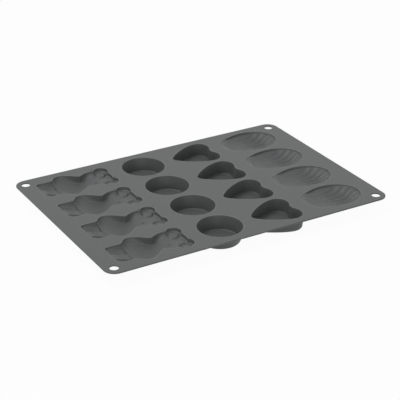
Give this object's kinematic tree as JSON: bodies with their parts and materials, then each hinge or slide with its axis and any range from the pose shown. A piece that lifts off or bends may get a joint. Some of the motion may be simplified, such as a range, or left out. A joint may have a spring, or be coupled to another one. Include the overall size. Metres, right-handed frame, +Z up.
{
  "type": "silicone baking mould",
  "caption": "Flexible silicone baking sheet with rows of teddy, round, heart and madeleine shell cups below a thin deck with corner hanging holes.",
  "frame": {"origin": "centre of the sheet in plan, at the level that the cups stand on", "axes": "+X along the sheet's long side from the teddy column to the shell column, +Y along the short side, +Z up out of the cups' mouths"},
  "size_m": [0.3384, 0.2338, 0.0165],
  "materials": {
    "silicone": "satin-matt dark grey silicone"
  },
  "bodies": {
    "bear_strip": {"bear_deck_panel": "silicone", "bear_cup_1": "silicone", "bear_cup_2": "silicone", "bear_cup_3": "silicone", "bear_cup_4": "silicone"},
    "round_strip": {"round_deck_panel": "silicone", "round_cup_1": "silicone", "round_cup_2": "silicone", "round_cup_3": "silicone", "round_cup_4": "silicone", "flex_web_bear_round": "silicone", "flex_web_round_heart": "silicone"},
    "heart_strip": {"heart_deck_panel": "silicone", "heart_cup_1": "silicone", "heart_cup_2": "silicone", "heart_cup_3": "silicone", "heart_cup_4": "silicone", "flex_web_heart_shell": "silicone"},
    "shell_strip": {"shell_deck_panel": "silicone", "shell_cup_1": "silicone", "shell_cup_2": "silicone", "shell_cup_3": "silicone", "shell_cup_4": "silicone"}
  },
  "joints": [
    {"name": "bear_flex", "type": "hinge", "parent": "round_strip", "child": "bear_strip", "pos_m": [-0.05635, 0, 0.0157], "axis": [0, 1, 0], "range_deg": [-40, 60], "stiffness_Nm_per_rad": 0.02, "deforming": ["flex_web_bear_round"]},
    {"name": "heart_flex", "type": "hinge", "parent": "round_strip", "child": "heart_strip", "pos_m": [0.00685, 0, 0.0157], "axis": [0, -1, 0], "range_deg": [-40, 60], "stiffness_Nm_per_rad": 0.02, "deforming": ["flex_web_round_heart"]},
    {"name": "shell_flex", "type": "hinge", "parent": "heart_strip", "child": "shell_strip", "pos_m": [0.07435, 0, 0.0157], "axis": [0, -1, 0], "range_deg": [-40, 60], "stiffness_Nm_per_rad": 0.02, "deforming": ["flex_web_heart_shell"]}
  ]
}
